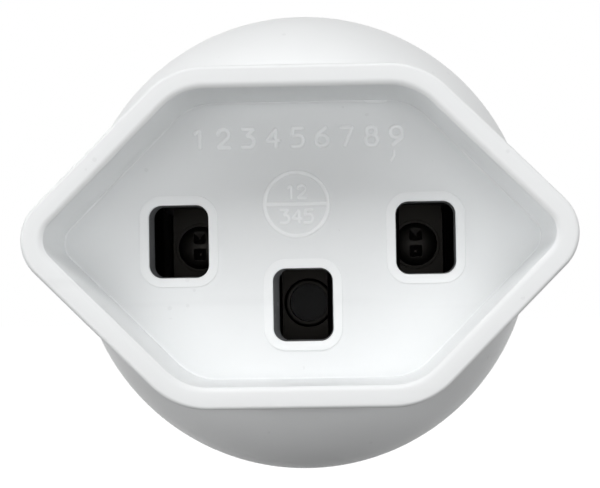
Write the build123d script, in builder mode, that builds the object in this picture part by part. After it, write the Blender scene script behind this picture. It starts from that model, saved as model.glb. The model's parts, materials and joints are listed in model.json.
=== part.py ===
"""Plug adapter with a recessed three-hole socket in front and a round plug behind.

The origin is the centre of the plug's pin face. +Y is the way the pins point, +X is to the
right and +Z is up when one looks at the socket. A height is measured from the pin face
towards the socket, so it lies along -Y, and the pins have negative heights.
"""

import os
from math import sqrt

from build123d import *

os.makedirs("parts", exist_ok=True)

# Clearances between pieces, in millimetres like every other size
SLIP = 0.05
EASY_FIT = 0.1

# Round body and its heights
OUTLET_DEPTH = 17.5
SHOULDER_TO_FLOOR = 10.0
RECESS_DEPTH = 10.0
FLOOR_THICKNESS = 1.5
PLATE_LEDGE = 0.7
SHELL_RADIUS = 18.3
SHELL_WALL = 1.6
SHOULDER_STEP = 0.3
SKIRT_HEIGHT = 1.5
DOME_FLAT_RADIUS = 5.0
DOME_HEIGHT = 12.0

FLOOR = OUTLET_DEPTH + SHOULDER_TO_FLOOR
RIM = FLOOR + RECESS_DEPTH
FLOOR_BACK = FLOOR - FLOOR_THICKNESS
SKIRT_TOP = OUTLET_DEPTH + SKIRT_HEIGHT
SHELL_BORE = SHELL_RADIUS - SHELL_WALL
BASE_RADIUS = SHELL_RADIUS - SHOULDER_STEP

# Pointed collar round the recess, with its sides at 45 degrees
COLLAR_HALF_HEIGHT = 12.38
COLLAR_REACH = 21.48
COLLAR_WALL = 1.58
COLLAR_TIP_RADIUS = 3.4
COLLAR_CORNER_RADIUS = 6.0
LEAST_TIP_RADIUS = 0.5
OUTER_DRAFT = 0.12
INNER_DRAFT = 0.18
COLLAR_SKIRT = 0.5
HEEL_HEIGHT = 5.0
HEEL_INSET = 2.6
LIP_OUTER_ROUND = 0.35
LIP_INNER_ROUND = 0.5

COLLAR_BASE = FLOOR_BACK - COLLAR_SKIRT
COLLAR_HEEL = COLLAR_BASE - HEEL_HEIGHT

# Socket holes: line and neutral side by side, earth below and between them
HOLE_SPACING = 19.0
EARTH_DROP = 5.0
HOLE_WIDTH = 4.6
HOLE_HEIGHT = 5.6
HOLE_CORNER = 1.0

# Plug side
BASE_FLOOR = 4.0
SPIGOT_WALL = 1.0
FACE_ROUND = 1.0
SPIGOT_HEIGHT = 2.2
PIN_RADIUS = 2.4
PIN_LENGTH = 19.0
PIN_TIP_ROUND = 1.6
PIN_ROOT_RADIUS = 3.0
PIN_FLANGE_RADIUS = 3.8
SEAT_HEIGHT = 0.8
SHANK_RADIUS = 1.5
RIVET_HEAD_RADIUS = 1.9
RIVET_HEAD_HEIGHT = 1.0
WASHER_THICKNESS = 0.5
WASHER_PLAY = 0.2
GUIDE_WIDTH = 5.5
GUIDE_WALL = 1.5
NOTCH_WIDTH = 6.2
NOTCH_STOP = 1.0

SPIGOT_RADIUS = SHELL_BORE - EASY_FIT
BASE_BORE = SPIGOT_RADIUS - SPIGOT_WALL

# Earth parts
ARM_INSET = 1.7
ARM_WIDTH = 7.0
ARM_STOP = 1.2
EARTH_HOLE_RISE = 10.0
EARTH_MOUTH_RADIUS = 2.8
EARTH_MOUTH_DEPTH = 2.0
SLEEVE_BORE = 2.5
SLEEVE_WALL = 0.6
SLEEVE_LENGTH = 15.0
SLEEVE_SLIT = 0.8
SLEEVE_SLIT_LENGTH = 8.0
SLEEVE_FLANGE_RADIUS = 3.6
SLEEVE_FLANGE_THICKNESS = 0.6
EAR_RADIUS = 4.6
EYELET_BORE = 1.65
EYELET_RADIUS = 2.0
EYELET_FLANGE_THICKNESS = 0.4
EYELET_ROUND = 0.28

# Leaf contacts
CONTACT_THICKNESS = 0.7
CONTACT_HALF_WIDTH = 3.25
CONTACT_TALL = 5.8
EAR_PLATE_TALL = 8.6
LEAF_STRAIGHT = 9.0
THROAT_HALF_GAP = 1.8
THROAT_DEPTH = 7.0
MOUTH_HALF_GAP = 2.5
MOUTH_DEPTH = 4.2
LEAF_BEND_RADIUS = 0.55
LEAF_SWEEP_RADIUS = 3.0
BAND_THICKNESS = 0.35
BAND_WIDTH = 2.0

# Chambers round the contacts
CHAMBER = 7.0
CHAMBER_WALL = 0.95
CHAMBER_GAP = 0.25
TOWER_CORNER = 1.2
BAR_TALL = 2.0
RIB_WIDTH = 2.4
SLEEVE_GRIP_RADIUS = 4.4
SLEEVE_GRIP_BOTTOM = 12.0

# Housing screws
SCREW_MARGIN = 0.17
SCREW_RADIUS = 1.2
SCREW_HEAD_RADIUS = 2.6
SCREW_HEAD_HEIGHT = 1.7
SCREW_HEAD_SINK = 0.5
SCREW_HOLE_PLAY = 0.3
SCREW_HEAD_PLAY = 0.2
SCREW_POINT = 1.0
SCREW_TOP = 21.0
SCREW_CROSS_WIDTH = 0.7
SCREW_CROSS_LENGTH = 3.0
SCREW_CROSS_DEPTH = 1.0
POST_RADIUS = 2.9
BOSS_RADIUS = 2.7
POST_TOP = 12.0

# Values worked out from the sizes above
HALF_SPACING = HOLE_SPACING / 2
FLANGE_TOP = BASE_FLOOR + SEAT_HEIGHT
PLATE_TOP = FLANGE_TOP + CONTACT_THICKNESS
WASHER_TOP = PLATE_TOP + WASHER_THICKNESS
HEAD_TOP = WASHER_TOP + RIVET_HEAD_HEIGHT
CHAMBER_TOP = FLOOR_BACK - EASY_FIT
THROAT = FLOOR - THROAT_DEPTH
MOUTH = FLOOR - MOUTH_DEPTH
LEAF_ROOT = CONTACT_HALF_WIDTH - CONTACT_THICKNESS / 2
WASHER_RADIUS = LEAF_ROOT - LEAF_BEND_RADIUS - WASHER_PLAY
TOWER = CHAMBER + 2 * CHAMBER_WALL
GROOVE_BACK = HALF_SPACING + TOWER / 2 + CHAMBER_GAP
GROOVE_FLOOR = GROOVE_BACK + GUIDE_WALL
ARM_HALF_SPAN = BASE_RADIUS - ARM_INSET
ARM_HEIGHT = OUTLET_DEPTH - ARM_STOP
SLEEVE_RADIUS = SLEEVE_BORE + SLEEVE_WALL
SLEEVE_TOP = EARTH_MOUTH_DEPTH + SLEEVE_LENGTH
SCREW_OFFSET = (BASE_BORE - BOSS_RADIUS - SCREW_MARGIN) / sqrt(2)
SCREW_PLACES = {
    "upper_screw": (-SCREW_OFFSET, SCREW_OFFSET),
    "lower_screw": (SCREW_OFFSET, -SCREW_OFFSET),
}
CONTACT_PLACES = {
    "line": (HALF_SPACING, 0.0),
    "neutral": (-HALF_SPACING, 0.0),
    "earth": (0.0, -EARTH_DROP),
}


def level(height):
    """A plane parallel to the pin face, at this height towards the socket."""
    return Plane.XZ.offset(height)


def upright(x, z):
    """A plane through a piece's own axis. Its x is the radius and its y is minus the height."""
    return Plane(origin=(x, 0, z))


def axis_at(x, z):
    """The line through (x, z) that is square to the pin face."""
    return Axis((x, 0, z), (0, 1, 0))


def pointed_outline(height, inset):
    """The collar's six-sided outline at this height, drawn in by inset from its outside."""
    half = COLLAR_HALF_HEIGHT - inset
    reach = COLLAR_REACH - inset * sqrt(2)
    shoulder = reach - half
    tip_round = max(COLLAR_TIP_RADIUS - inset, LEAST_TIP_RADIUS)
    corner_round = COLLAR_CORNER_RADIUS - inset
    with BuildSketch(level(height)) as outline:
        with BuildLine():
            Polyline(
                (reach, 0),
                (shoulder, half),
                (-shoulder, half),
                (-reach, 0),
                (-shoulder, -half),
                (shoulder, -half),
                close=True,
            )
        make_face()
        columns = outline.vertices().group_by(Axis.X)
        fillet(columns[1] + columns[-2], corner_round)
        columns = outline.vertices().group_by(Axis.X)
        fillet(columns[0] + columns[-1], tip_round)
    return outline.sketch


def dome_profile(radius, flat_radius, dome_height, top):
    """Half section of the round body: a skirt, then a quarter ellipse, cut level at top."""
    with BuildSketch(Plane.XY) as profile:
        with BuildLine():
            Polyline(
                (flat_radius, -SKIRT_TOP - dome_height),
                (0, -SKIRT_TOP - dome_height),
                (0, -OUTLET_DEPTH),
                (radius, -OUTLET_DEPTH),
                (radius, -SKIRT_TOP),
            )
            EllipticalCenterArc(
                (flat_radius, -SKIRT_TOP),
                radius - flat_radius,
                dome_height,
                start_angle=270,
                arc_size=90,
            )
        make_face()
        with Locations((0, -top)):
            Rectangle(
                2 * radius,
                2 * dome_height,
                align=(Align.MIN, Align.MAX),
                mode=Mode.SUBTRACT,
            )
    return profile.sketch


def finish(part, name):
    """Label a finished piece and write it out."""
    part.label = name
    export_step(part, f"parts/{name}.step")


# Front housing: pointed collar on a domed round shell, with a ledge for the socket plate

collar_sections = [
    pointed_outline(COLLAR_HEEL, HEEL_INSET),
    pointed_outline(COLLAR_BASE, -OUTER_DRAFT),
    pointed_outline(RIM, 0),
]
recess_sections = [
    pointed_outline(FLOOR_BACK, COLLAR_WALL + INNER_DRAFT),
    pointed_outline(FLOOR, COLLAR_WALL + INNER_DRAFT),
    pointed_outline(RIM, COLLAR_WALL),
]
core_sections = [
    pointed_outline(COLLAR_HEEL, HEEL_INSET + SHELL_WALL),
    pointed_outline(COLLAR_BASE, SHELL_WALL),
    pointed_outline(FLOOR_BACK, SHELL_WALL + PLATE_LEDGE),
]
outer_profile = dome_profile(SHELL_RADIUS, DOME_FLAT_RADIUS, DOME_HEIGHT, RIM)
inner_profile = dome_profile(
    SHELL_BORE, DOME_FLAT_RADIUS, DOME_HEIGHT - SHELL_WALL, FLOOR_BACK
)
inside_collar = pointed_outline(FLOOR_BACK, COLLAR_WALL / 2)

# the round body runs up to the collar's wall and leaves the recess free
with BuildPart() as dome:
    revolve(outer_profile, Axis.Y)
    extrude(inside_collar, amount=RIM - FLOOR_BACK, mode=Mode.SUBTRACT)

with BuildPart() as front_housing:
    loft(collar_sections, ruled=True)
    loft(recess_sections, ruled=True, mode=Mode.SUBTRACT)
    lip = front_housing.faces().sort_by(Axis.Y)[0]
    fillet(lip.outer_wire().edges(), LIP_OUTER_ROUND)
    lip = front_housing.faces().sort_by(Axis.Y)[0]
    fillet(lip.inner_wires()[0].edges(), LIP_INNER_ROUND)
    add(dome.part)
    revolve(inner_profile, Axis.Y, mode=Mode.SUBTRACT)
    loft(core_sections, ruled=True, mode=Mode.SUBTRACT)
    # bosses that the housing screws bite into
    with BuildSketch(level(POST_TOP + EASY_FIT)) as bosses:
        with Locations(*SCREW_PLACES.values()):
            Circle(BOSS_RADIUS)
    extrude(amount=FLOOR_BACK - POST_TOP - EASY_FIT)
    with BuildSketch(level(POST_TOP)) as pilots:
        with Locations(*SCREW_PLACES.values()):
            Circle(SCREW_RADIUS + SLIP)
    extrude(amount=SCREW_TOP + SCREW_POINT + EASY_FIT - POST_TOP, mode=Mode.SUBTRACT)
finish(front_housing.part, "front_housing")

# Socket plate: the floor of the recess, with the three holes

with BuildPart() as socket_plate:
    extrude(
        pointed_outline(FLOOR_BACK, COLLAR_WALL + INNER_DRAFT + SLIP),
        amount=FLOOR_THICKNESS,
    )
    with BuildSketch(level(FLOOR_BACK)) as holes:
        with Locations(*CONTACT_PLACES.values()):
            RectangleRounded(HOLE_WIDTH, HOLE_HEIGHT, HOLE_CORNER)
    extrude(amount=FLOOR_THICKNESS, mode=Mode.SUBTRACT)
finish(socket_plate.part, "socket_plate")

# Plug base: round moulding with the pin holes, guide grooves and earth notches

with BuildPart() as plug_base:
    with BuildSketch(level(0)) as body_outline:
        Circle(BASE_RADIUS)
    extrude(amount=OUTLET_DEPTH)
    fillet(plug_base.edges().group_by(Axis.Y)[-1], FACE_ROUND)
    with BuildSketch(level(OUTLET_DEPTH)) as spigot_outline:
        Circle(SPIGOT_RADIUS)
    extrude(amount=SPIGOT_HEIGHT)
    with BuildSketch(level(BASE_FLOOR)) as cavity:
        Circle(BASE_BORE)
        with Locations((GROOVE_BACK, 0)):
            Rectangle(
                BASE_RADIUS,
                GUIDE_WIDTH + 2 * GUIDE_WALL,
                align=(Align.MIN, Align.CENTER),
                mode=Mode.SUBTRACT,
            )
        with Locations((-GROOVE_BACK, 0)):
            Rectangle(
                BASE_RADIUS,
                GUIDE_WIDTH + 2 * GUIDE_WALL,
                align=(Align.MAX, Align.CENTER),
                mode=Mode.SUBTRACT,
            )
    extrude(amount=OUTLET_DEPTH + SPIGOT_HEIGHT - BASE_FLOOR, mode=Mode.SUBTRACT)
    with BuildSketch(level(0)) as grooves:
        with Locations((GROOVE_FLOOR, 0)):
            Rectangle(BASE_RADIUS, GUIDE_WIDTH, align=(Align.MIN, Align.CENTER))
        with Locations((-GROOVE_FLOOR, 0)):
            Rectangle(BASE_RADIUS, GUIDE_WIDTH, align=(Align.MAX, Align.CENTER))
    extrude(amount=OUTLET_DEPTH, mode=Mode.SUBTRACT)
    # pockets for the strap's arms, open through the spigot, and the notches outside them
    pocket_reach = ARM_HALF_SPAN + SLIP
    with BuildSketch(level(BASE_FLOOR)) as arm_pockets:
        Rectangle(ARM_WIDTH + 2 * SLIP, 2 * pocket_reach)
    extrude(amount=OUTLET_DEPTH - BASE_FLOOR, mode=Mode.SUBTRACT)
    with BuildSketch(level(OUTLET_DEPTH)) as spigot_gaps:
        Rectangle(ARM_WIDTH + 2 * SLIP, 2 * BASE_RADIUS)
    extrude(amount=SPIGOT_HEIGHT, mode=Mode.SUBTRACT)
    with BuildSketch(level(0)) as notches:
        with Locations((0, pocket_reach)):
            Rectangle(NOTCH_WIDTH, BASE_RADIUS, align=(Align.CENTER, Align.MIN))
        with Locations((0, -pocket_reach)):
            Rectangle(NOTCH_WIDTH, BASE_RADIUS, align=(Align.CENTER, Align.MAX))
    extrude(amount=OUTLET_DEPTH - NOTCH_STOP, mode=Mode.SUBTRACT)
    # posts that carry the screws, with sunk heads at the pin face
    with BuildSketch(level(BASE_FLOOR)) as posts:
        with Locations(*SCREW_PLACES.values()):
            Circle(POST_RADIUS)
    extrude(amount=POST_TOP - BASE_FLOOR)
    with BuildSketch(level(0)) as screw_holes:
        with Locations(*SCREW_PLACES.values()):
            Circle(SCREW_RADIUS + SCREW_HOLE_PLAY)
    extrude(amount=POST_TOP, mode=Mode.SUBTRACT)
    with BuildSketch(level(0)) as head_sinks:
        with Locations(*SCREW_PLACES.values()):
            Circle(SCREW_HEAD_RADIUS + SCREW_HEAD_PLAY)
    extrude(amount=SCREW_HEAD_SINK + SCREW_HEAD_HEIGHT, mode=Mode.SUBTRACT)
    # pin holes, and the stepped hole that the outlet's earth pin enters
    with BuildSketch(level(0)) as pin_holes:
        with Locations((-HALF_SPACING, 0), (HALF_SPACING, 0)):
            Circle(PIN_ROOT_RADIUS + SLIP)
    extrude(amount=BASE_FLOOR, mode=Mode.SUBTRACT)
    with BuildSketch(level(0)) as earth_mouth:
        with Locations((0, EARTH_HOLE_RISE)):
            Circle(EARTH_MOUTH_RADIUS)
    extrude(amount=BASE_FLOOR, mode=Mode.SUBTRACT)
    with BuildSketch(level(EARTH_MOUTH_DEPTH)) as sleeve_seat:
        with Locations((0, EARTH_HOLE_RISE)):
            Circle(SLEEVE_RADIUS + SLIP)
    extrude(amount=BASE_FLOOR - EARTH_MOUTH_DEPTH, mode=Mode.SUBTRACT)
finish(plug_base.part, "plug_base")

# Chambers: square tubes round the contacts, open towards the socket holes


def make_chamber(x, z):
    """An insulating tube round one contact, kept inside the base's bore."""
    with BuildPart() as chamber:
        with BuildSketch(level(PLATE_TOP)):
            with Locations((x, z)):
                RectangleRounded(TOWER, TOWER, TOWER_CORNER)
            Circle(BASE_BORE - EASY_FIT, mode=Mode.INTERSECT)
            with Locations((x, z)):
                Rectangle(CHAMBER, CHAMBER, mode=Mode.SUBTRACT)
        extrude(amount=CHAMBER_TOP - PLATE_TOP)
    return chamber.part


for name, (x, z) in CONTACT_PLACES.items():
    finish(make_chamber(x, z), f"{name}_chamber")

# Sleeve holder: a bar seated on the earth chamber, with a rib to a ring round the earth sleeve

chamber_side = TOWER / 2 - EARTH_DROP
with BuildPart() as sleeve_holder:
    with BuildSketch(level(SLEEVE_GRIP_BOTTOM)):
        with Locations((0, chamber_side)):
            Rectangle(HOLE_SPACING - TOWER, BAR_TALL, align=(Align.CENTER, Align.MIN))
            Rectangle(
                RIB_WIDTH,
                EARTH_HOLE_RISE - chamber_side,
                align=(Align.CENTER, Align.MIN),
            )
        with Locations((0, EARTH_HOLE_RISE)):
            Circle(SLEEVE_GRIP_RADIUS)
        Circle(BASE_BORE - EASY_FIT, mode=Mode.INTERSECT)
        with Locations((0, EARTH_HOLE_RISE)):
            Circle(SLEEVE_RADIUS + SLIP, mode=Mode.SUBTRACT)
    extrude(amount=SLEEVE_TOP - SLEEVE_GRIP_BOTTOM)
finish(sleeve_holder.part, "sleeve_holder")


# Pins: turned, with a flange inside the base and a shank riveted over the contact


def make_pin(x):
    """A pin on the axis at x, worked as a half section that is turned about it."""
    round_start = PIN_LENGTH - PIN_TIP_ROUND
    tip_flat = PIN_RADIUS - PIN_TIP_ROUND
    with BuildPart() as pin:
        with BuildSketch(upright(x, 0)):
            with BuildLine():
                Polyline(
                    (0, PIN_LENGTH),
                    (tip_flat, PIN_LENGTH),
                )
                RadiusArc((tip_flat, PIN_LENGTH), (PIN_RADIUS, round_start), PIN_TIP_ROUND)
                Polyline(
                    (PIN_RADIUS, round_start),
                    (PIN_RADIUS, 0),
                    (PIN_ROOT_RADIUS, 0),
                    (PIN_ROOT_RADIUS, -BASE_FLOOR),
                    (PIN_FLANGE_RADIUS, -BASE_FLOOR),
                    (PIN_FLANGE_RADIUS, -FLANGE_TOP),
                    (SHANK_RADIUS, -FLANGE_TOP),
                    (SHANK_RADIUS, -WASHER_TOP),
                    (RIVET_HEAD_RADIUS, -WASHER_TOP),
                )
                EllipticalCenterArc(
                    (0, -WASHER_TOP),
                    RIVET_HEAD_RADIUS,
                    RIVET_HEAD_HEIGHT,
                    start_angle=270,
                    arc_size=90,
                )
                Line((0, -HEAD_TOP), (0, PIN_LENGTH))
            make_face()
        revolve(axis=axis_at(x, 0))
    return pin.part


def make_washer(x):
    """The washer between a contact's base and the riveted head of its pin."""
    with BuildPart() as washer:
        with BuildSketch(level(PLATE_TOP)):
            with Locations((x, 0)):
                Circle(WASHER_RADIUS)
                Circle(SHANK_RADIUS + SLIP, mode=Mode.SUBTRACT)
        extrude(amount=WASHER_THICKNESS)
    return washer.part


def make_contact(x, z, rivet_radius):
    """A strip bent to a U. Its two leaves close in to a throat and flare out at the mouth."""
    half = CONTACT_THICKNESS / 2
    bottom = FLANGE_TOP + half
    leaf = [
        (MOUTH_HALF_GAP + half, -MOUTH),
        (THROAT_HALF_GAP + half, -THROAT),
        (LEAF_ROOT, -LEAF_STRAIGHT),
        (LEAF_ROOT, -bottom),
    ]
    route = leaf + [(-across, along) for across, along in reversed(leaf)]
    radii = [LEAF_SWEEP_RADIUS, LEAF_SWEEP_RADIUS, LEAF_BEND_RADIUS]
    with BuildPart() as contact:
        with BuildSketch(upright(x, z)):
            with BuildLine() as strip:
                FilletPolyline(*route, radius=radii + radii[::-1])
            trace(strip.line, CONTACT_THICKNESS)
        extrude(amount=CONTACT_TALL / 2, both=True)
        with BuildSketch(level(FLANGE_TOP)):
            with Locations((x, z)):
                Rectangle(2 * (LEAF_ROOT - LEAF_BEND_RADIUS), EAR_PLATE_TALL)
        extrude(amount=CONTACT_THICKNESS)
        with BuildSketch(level(FLANGE_TOP)):
            with Locations((x, z)):
                Circle(rivet_radius + SLIP)
        extrude(amount=CONTACT_THICKNESS, mode=Mode.SUBTRACT)
    return contact.part


def make_band(x, z):
    """The steel band round a contact's throat."""
    lean = (LEAF_ROOT - THROAT_HALF_GAP - CONTACT_THICKNESS / 2) / (THROAT - LEAF_STRAIGHT)
    leaf_outside = THROAT_HALF_GAP + CONTACT_THICKNESS + lean * BAND_WIDTH
    inner_wide = 2 * (leaf_outside + SLIP)
    inner_tall = CONTACT_TALL + 2 * SLIP
    with BuildPart() as band:
        with BuildSketch(level(THROAT - BAND_WIDTH)):
            with Locations((x, z)):
                Rectangle(inner_wide + 2 * BAND_THICKNESS, inner_tall + 2 * BAND_THICKNESS)
                Rectangle(inner_wide, inner_tall, mode=Mode.SUBTRACT)
        extrude(amount=BAND_WIDTH)
    return band.part


for name, (x, z) in CONTACT_PLACES.items():
    rivet = EYELET_RADIUS if name == "earth" else SHANK_RADIUS
    finish(make_contact(x, z, rivet), f"{name}_contact")
    finish(make_band(x, z), f"{name}_spring")
    if name != "earth":
        finish(make_pin(x), f"{name}_pin")
        finish(make_washer(x), f"{name}_washer")

# Earth strap: a U with its bar on the base's floor and an arm in each notch

bar_middle = BASE_FLOOR + SEAT_HEIGHT / 2
arm_middle = ARM_HALF_SPAN - SEAT_HEIGHT / 2
with BuildPart() as earth_strap:
    with BuildSketch(Plane.YZ):
        with BuildLine() as bend:
            FilletPolyline(
                (-ARM_HEIGHT, -arm_middle),
                (-bar_middle, -arm_middle),
                (-bar_middle, arm_middle),
                (-ARM_HEIGHT, arm_middle),
                radius=SEAT_HEIGHT,
            )
        trace(bend.line, SEAT_HEIGHT)
    extrude(amount=ARM_WIDTH / 2, both=True)
    with BuildSketch(level(BASE_FLOOR)):
        with Locations((0, EARTH_HOLE_RISE)):
            Circle(EAR_RADIUS)
    extrude(amount=SEAT_HEIGHT)
    with BuildSketch(level(BASE_FLOOR)):
        with Locations((0, EARTH_HOLE_RISE)):
            Circle(SLEEVE_RADIUS + SLIP)
        with Locations((0, -EARTH_DROP)):
            Circle(EYELET_RADIUS + SLIP)
    extrude(amount=SEAT_HEIGHT, mode=Mode.SUBTRACT)
finish(earth_strap.part, "earth_strap")

# Hollow rivet that joins the earth contact to the strap

with BuildPart() as earth_rivet:
    with BuildSketch(level(BASE_FLOOR)):
        with Locations((0, -EARTH_DROP)):
            Circle(EYELET_RADIUS)
    extrude(amount=PLATE_TOP - BASE_FLOOR)
    with BuildSketch(level(PLATE_TOP)):
        with Locations((0, -EARTH_DROP)):
            Circle(WASHER_RADIUS)
    extrude(amount=EYELET_FLANGE_THICKNESS)
    fillet(earth_rivet.edges().group_by(Axis.Y)[0], EYELET_ROUND)
    with BuildSketch(level(BASE_FLOOR)):
        with Locations((0, -EARTH_DROP)):
            Circle(EYELET_BORE)
    extrude(
        amount=PLATE_TOP + EYELET_FLANGE_THICKNESS - BASE_FLOOR, mode=Mode.SUBTRACT
    )
finish(earth_rivet.part, "earth_rivet")

# Earth sleeve: slit tube with a flange that is riveted on the strap

with BuildPart() as earth_sleeve:
    with BuildSketch(level(EARTH_MOUTH_DEPTH)):
        with Locations((0, EARTH_HOLE_RISE)):
            Circle(SLEEVE_RADIUS)
    extrude(amount=SLEEVE_LENGTH)
    with BuildSketch(level(FLANGE_TOP)):
        with Locations((0, EARTH_HOLE_RISE)):
            Circle(SLEEVE_FLANGE_RADIUS)
    extrude(amount=SLEEVE_FLANGE_THICKNESS)
    with BuildSketch(level(EARTH_MOUTH_DEPTH)):
        with Locations((0, EARTH_HOLE_RISE)):
            Circle(SLEEVE_BORE)
    extrude(amount=SLEEVE_LENGTH, mode=Mode.SUBTRACT)
    with BuildSketch(level(SLEEVE_TOP - SLEEVE_SLIT_LENGTH)):
        with Locations((0, EARTH_HOLE_RISE)):
            Rectangle(2 * SLEEVE_FLANGE_RADIUS, SLEEVE_SLIT)
    extrude(amount=SLEEVE_SLIT_LENGTH, mode=Mode.SUBTRACT)
finish(earth_sleeve.part, "earth_sleeve")

# Housing screws, put in from the pin face

head_seat = SCREW_HEAD_SINK + SCREW_HEAD_HEIGHT
for name, (x, z) in SCREW_PLACES.items():
    with BuildPart() as screw:
        with BuildSketch(upright(x, z)):
            with BuildLine():
                Polyline(
                    (0, -SCREW_TOP - SCREW_POINT),
                    (SCREW_RADIUS, -SCREW_TOP),
                    (SCREW_RADIUS, -head_seat),
                    (SCREW_HEAD_RADIUS, -head_seat),
                    (SCREW_HEAD_RADIUS, -head_seat + SCREW_HEAD_HEIGHT / 2),
                )
                EllipticalCenterArc(
                    (0, -head_seat + SCREW_HEAD_HEIGHT / 2),
                    SCREW_HEAD_RADIUS,
                    SCREW_HEAD_HEIGHT / 2,
                    arc_size=90,
                )
                Line((0, -SCREW_HEAD_SINK), (0, -SCREW_TOP - SCREW_POINT))
            make_face()
        revolve(axis=axis_at(x, z))
        with BuildSketch(level(SCREW_HEAD_SINK)):
            with Locations((x, z)):
                Rectangle(SCREW_CROSS_LENGTH, SCREW_CROSS_WIDTH)
                Rectangle(SCREW_CROSS_WIDTH, SCREW_CROSS_LENGTH)
        extrude(amount=SCREW_CROSS_DEPTH, mode=Mode.SUBTRACT)
    finish(screw.part, name)
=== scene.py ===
"""Dresses the plug adapter: fine moulded and turned forms, finishes, light and camera.

Sizes are in metres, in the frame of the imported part: the origin is the centre of the plug's pin
face, +Y is the way the pins point, and a height lies along -Y, from the pin face to the socket.
"""

import json
from math import cos, pi, radians, sin, tan

import bmesh
import bpy
import numpy as np
from mathutils import Matrix, Vector


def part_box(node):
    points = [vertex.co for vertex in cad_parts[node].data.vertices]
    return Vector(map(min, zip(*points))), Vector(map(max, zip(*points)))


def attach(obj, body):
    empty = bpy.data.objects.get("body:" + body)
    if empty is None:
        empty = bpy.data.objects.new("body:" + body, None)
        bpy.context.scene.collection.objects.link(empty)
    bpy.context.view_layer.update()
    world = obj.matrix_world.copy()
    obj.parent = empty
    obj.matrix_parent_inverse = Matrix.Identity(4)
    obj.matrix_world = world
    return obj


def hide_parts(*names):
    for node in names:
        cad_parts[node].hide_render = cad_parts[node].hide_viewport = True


bl_info = {
    "name": "Plug Adapter",
    "version": (1, 0, 0),
    "blender": (4, 5, 0),
    "location": "View3D > Sidebar > Adapter",
    "description": "Builds the visible pieces of a recessed plug adapter and its studio",
    "category": "Object",
}

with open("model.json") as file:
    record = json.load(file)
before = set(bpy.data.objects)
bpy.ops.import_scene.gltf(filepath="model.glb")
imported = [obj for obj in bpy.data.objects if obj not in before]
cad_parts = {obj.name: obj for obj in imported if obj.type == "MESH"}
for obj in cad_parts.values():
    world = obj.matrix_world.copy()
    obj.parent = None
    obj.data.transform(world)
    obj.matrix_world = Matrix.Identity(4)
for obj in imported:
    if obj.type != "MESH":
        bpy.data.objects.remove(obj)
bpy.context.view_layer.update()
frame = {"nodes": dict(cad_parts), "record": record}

MM = 0.001
PHOTO_WIDTH = 600
SENSOR_WIDTH = 36.0
FLOOR_SPREAD = 3.0
LAMP_DISTANCE = 0.6
LAMP_TARGET = -0.02
# Each softbox: degrees to the side of the socket's axis and above it, then width and height.
SOFTBOXES = {
    "front": (-2, 0, (0.60, 0.10)),
    "left": (-72, 4, (0.28, 0.18)),
    "right": (68, 4, (0.28, 0.18)),
    "top": (-9, 48, (0.40, 0.28)),
}

mounts = {mount["name"]: mount for mount in frame["record"]["mounts"]}
housing_low, housing_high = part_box("front_housing")
RIM = -housing_low.y
SHELL_RADIUS = housing_high.z
FLOOR = -mounts["socket_line"]["pos_m"][1]
HOLE_PLACES = [
    (mounts[name]["pos_m"][0], mounts[name]["pos_m"][2])
    for name in ("socket_line", "socket_neutral", "socket_earth")
]
# How much more a hole's liner draws in on its left side: line, neutral, earth.
HOLE_LEANS = (0.0, 2.5, 4.3)
SCREW_PLACES = []
for screw in ("upper_screw", "lower_screw"):
    low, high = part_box(screw)
    SCREW_PLACES.append(((low.x + high.x) / 2, (low.z + high.z) / 2))


def number(name, description, default, **more):
    """A property that holds a number."""
    return bpy.props.FloatProperty(name=name, description=description, default=default, **more)


def length(name, description, default):
    """A property that holds a length."""
    return number(name, description, default, subtype="DISTANCE", unit="LENGTH")


def angle(name, description, degrees):
    """A property that holds an angle."""
    return number(name, description, radians(degrees), subtype="ANGLE", unit="ROTATION")


def share(name, description, default):
    """A property that holds a share from 0 to 1."""
    return number(name, description, default, min=0.0, max=1.0, subtype="FACTOR")


def power(name, description, default):
    """A property that holds a lamp's power in watts."""
    return number(name, description, default, min=0.0, unit="POWER")


def colour(name, description, default):
    """A property that holds a colour."""
    return bpy.props.FloatVectorProperty(
        name=name, description=description, default=default, min=0.0, max=1.0, subtype="COLOR"
    )


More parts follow.
